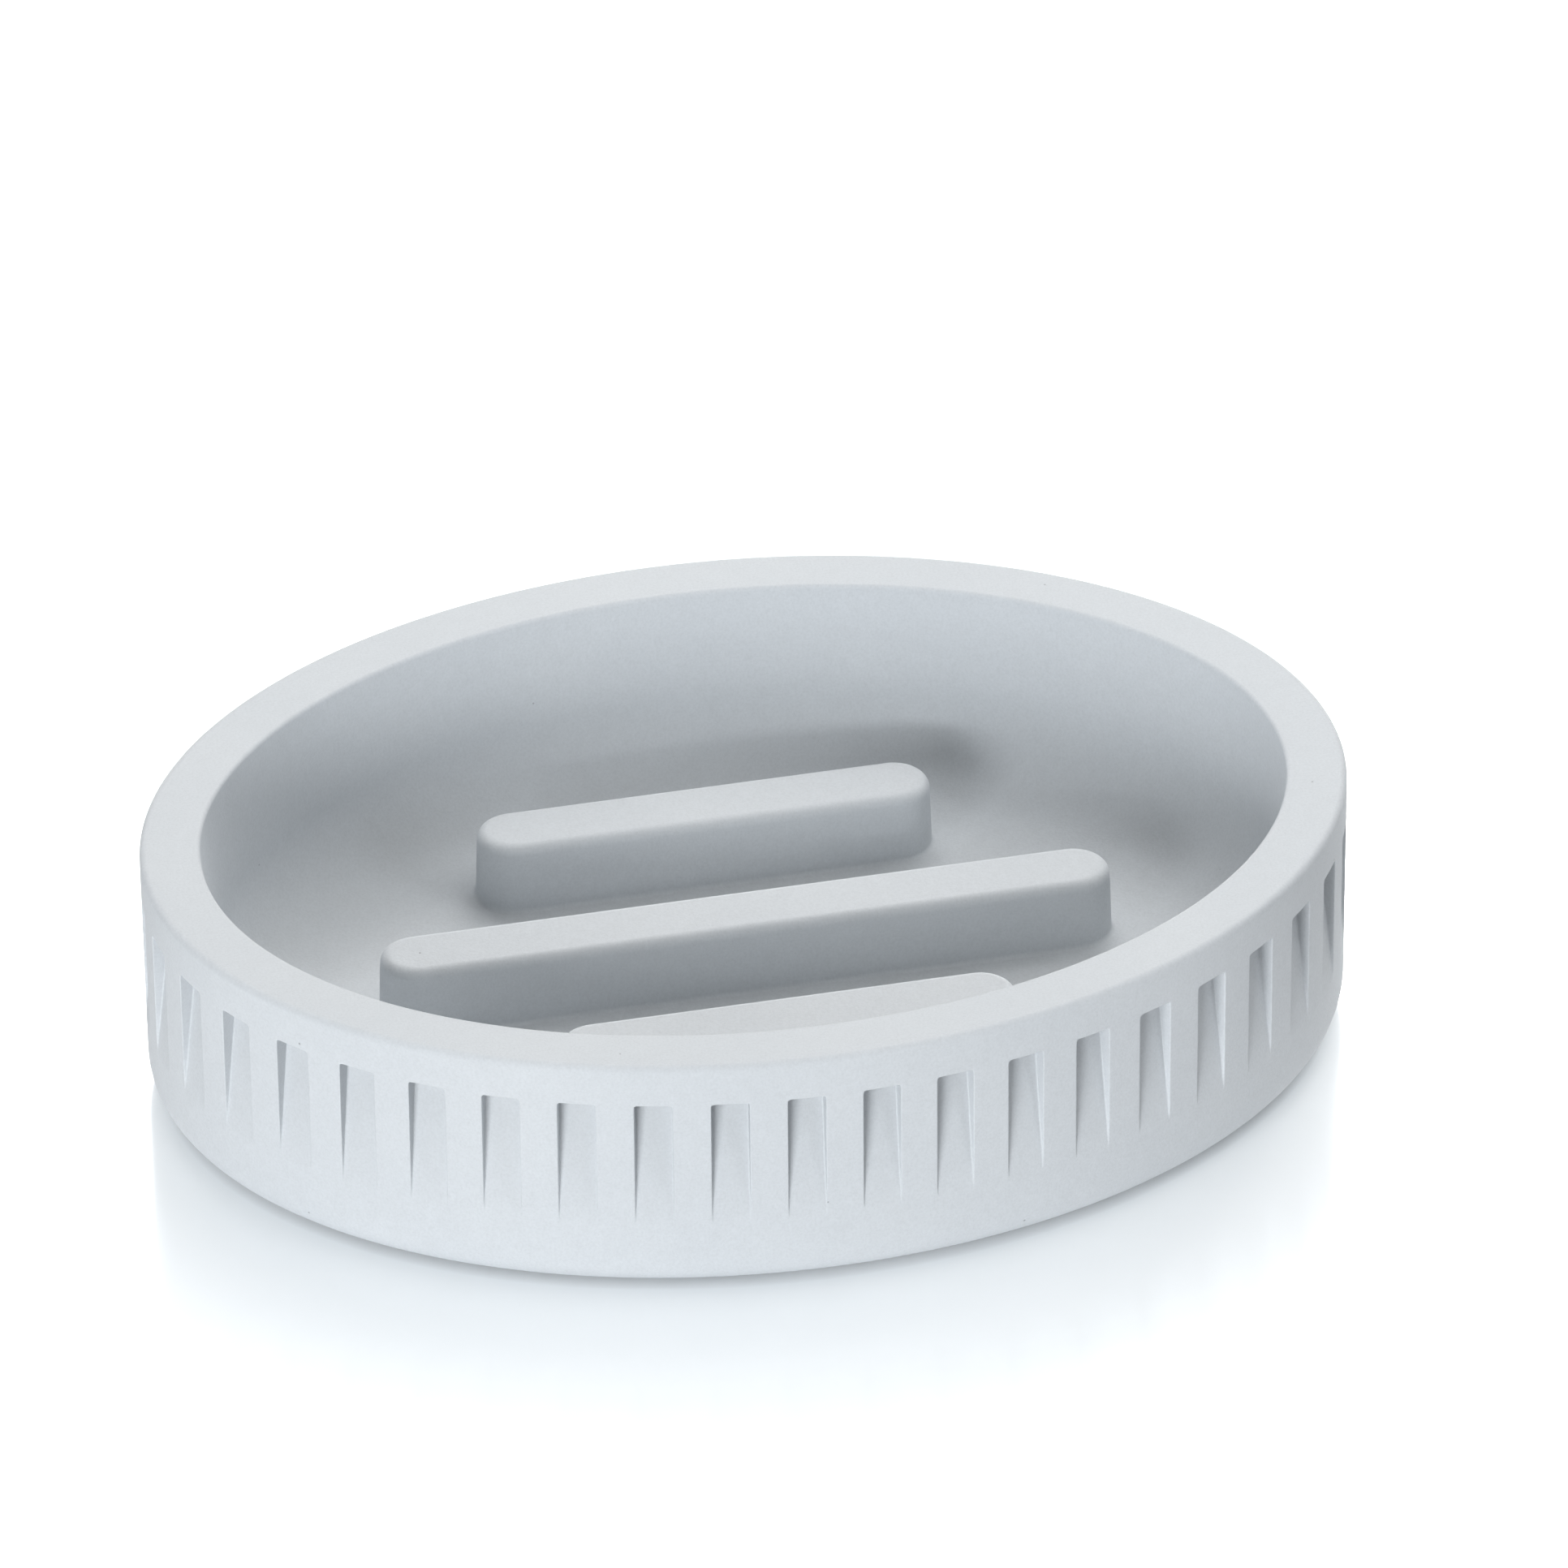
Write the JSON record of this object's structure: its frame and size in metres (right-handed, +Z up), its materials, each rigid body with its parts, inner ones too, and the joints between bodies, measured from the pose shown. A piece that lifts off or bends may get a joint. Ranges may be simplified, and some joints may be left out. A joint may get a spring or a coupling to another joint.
{
  "type": "soap dish",
  "caption": "Oval open soap dish with a flat rim, straight sides with a band of wedge-shaped notches, and three raised ribs lengthways on its floor that hold the soap off the wet.",
  "frame": {"origin": "on the surface that the dish stands on, under the middle of the dish", "axes": "+X along the long axis, to the right in the picture; +Y away from the viewer; +Z up"},
  "size_m": [0.13, 0.0966, 0.0294],
  "materials": {
    "resin": "matte",
    "pad_elastomer": "matte",
    "adhesive_film": "satin"
  },
  "bodies": {
    "root": {"dish_body": "resin", "foot_pad_front_left": "pad_elastomer", "foot_pad_front_right": "pad_elastomer", "foot_pad_back_left": "pad_elastomer", "foot_pad_back_right": "pad_elastomer", "pad_adhesive_front_left": "adhesive_film", "pad_adhesive_front_right": "adhesive_film", "pad_adhesive_back_left": "adhesive_film", "pad_adhesive_back_right": "adhesive_film"}
  },
  "joints": []
}
